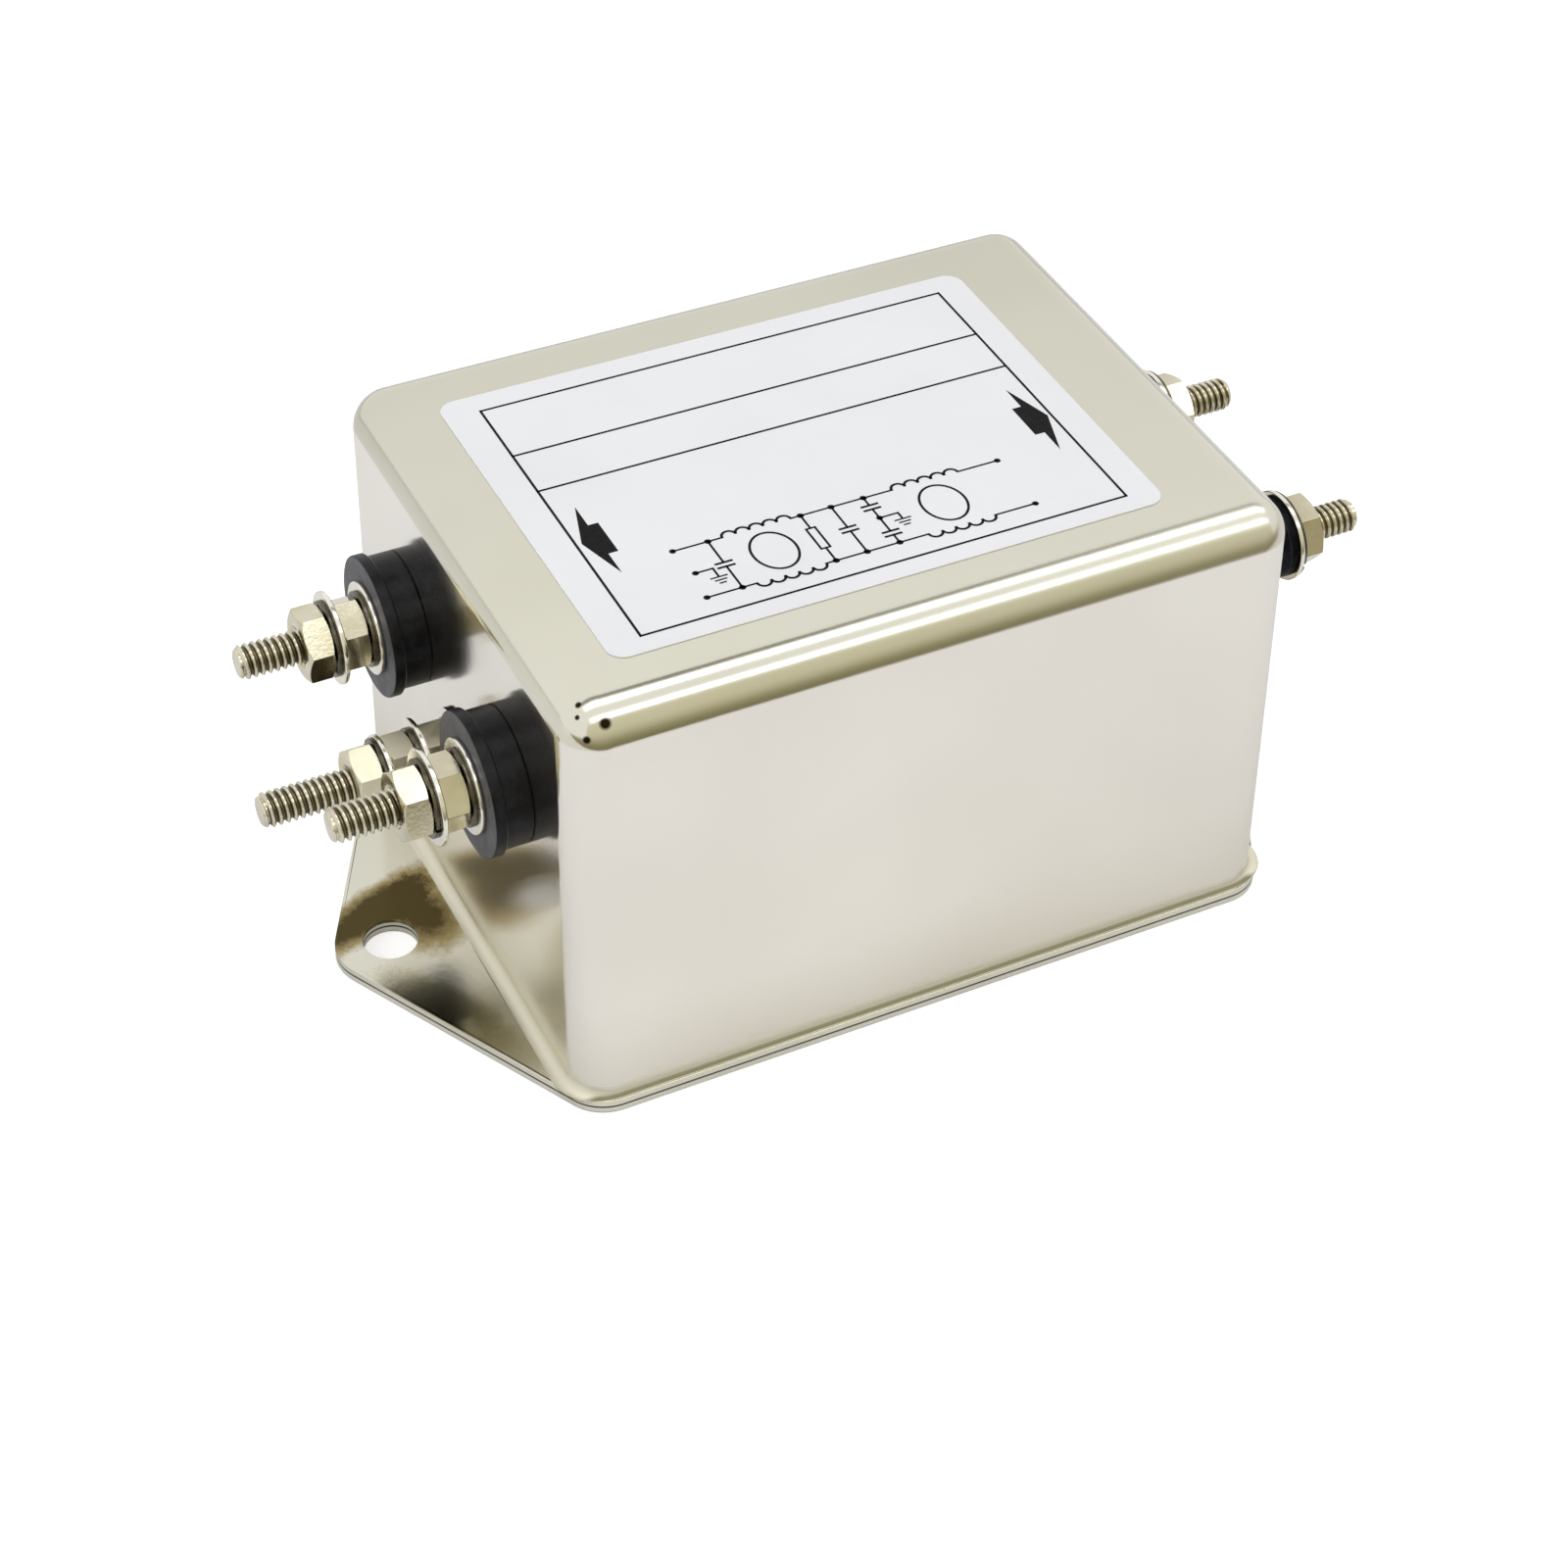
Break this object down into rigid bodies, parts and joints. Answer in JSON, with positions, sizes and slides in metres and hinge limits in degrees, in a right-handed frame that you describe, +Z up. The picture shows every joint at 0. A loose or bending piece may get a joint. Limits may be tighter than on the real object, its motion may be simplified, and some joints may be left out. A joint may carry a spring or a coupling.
{
  "type": "emi line filter",
  "caption": "Chassis-mount mains interference filter: a drawn metal can on a flat base with drilled ears, screw terminals on both end walls and an earth stud.",
  "frame": {"origin": "on the underside, midway between the two mounting holes", "axes": "+X from the line end to the load end, +Z up out of the mounting surface, +Y towards the back long side"},
  "size_m": [0.124, 0.065, 0.0525],
  "materials": {
    "plated_can": "smooth bright nickel plate over drawn steel, softly reflecting",
    "plated_base": "smooth nickel plate over flat steel",
    "label": "satin white sticker with a printed black outline and circuit drawing",
    "bushing": "black moulded thermoset with a soft gloss",
    "stud": "nickel-plated steel thread",
    "nut": "nickel-plated hexagon nuts, bright on the flats",
    "washer": "nickel-plated stamped washers",
    "spring_washer": "plated spring steel, slightly darker than the flat washers",
    "inner_ring": "matt black moulded washer",
    "lug": "tinned brass solder lugs",
    "lead": "PVC-insulated stranded lead",
    "earth_lead": "green and yellow insulated lead",
    "potting": "dark cast resin",
    "board": "resin-bonded laminate",
    "ferrite": "dark grey sintered ferrite under a thin lacquer",
    "enamel_wire": "enamelled copper wire",
    "x_capacitor": "yellow plastic box filled with resin",
    "y_capacitor": "blue lacquered ceramic disc",
    "resistor": "pale blue lacquered film resistor"
  },
  "bodies": {
    "root": {"case": "plated_can", "base_plate": "plated_base", "label": "label", "line_bushing_back": "bushing", "line_bushing_front": "bushing", "load_bushing_back": "bushing", "load_bushing_front": "bushing", "line_stud_back": "stud", "line_stud_front": "stud", "load_stud_back": "stud", "load_stud_front": "stud", "earth_stud": "stud", "line_inner_nut_back": "nut", "line_inner_nut_front": "nut", "line_outer_nut_back": "nut", "line_outer_nut_front": "nut", "load_nut_back": "nut", "load_nut_front": "nut", "earth_wall_nut": "nut", "earth_inner_nut": "nut", "earth_outer_nut": "nut", "line_flat_washers": "washer", "line_spring_washers": "spring_washer", "load_flat_washers": "washer", "load_spring_washers": "spring_washer", "earth_flat_washers": "washer", "earth_spring_washers": "spring_washer", "line_inner_rings": "inner_ring", "load_inner_rings": "inner_ring", "line_lugs": "lug", "load_lugs": "lug", "earth_lug": "lug", "line_lead_back": "lead", "line_lead_front": "lead", "load_lead_back": "lead", "load_lead_front": "lead", "earth_lead": "earth_lead", "potting": "potting", "circuit_board": "board", "choke_1_core": "ferrite", "choke_1_live_winding": "enamel_wire", "choke_1_neutral_winding": "enamel_wire", "choke_2_core": "ferrite", "choke_2_live_winding": "enamel_wire", "choke_2_neutral_winding": "enamel_wire", "x_capacitor_1": "x_capacitor", "x_capacitor_2": "x_capacitor", "y_capacitor_1": "y_capacitor", "y_capacitor_2": "y_capacitor", "bleed_resistor": "resistor"}
  },
  "joints": []
}
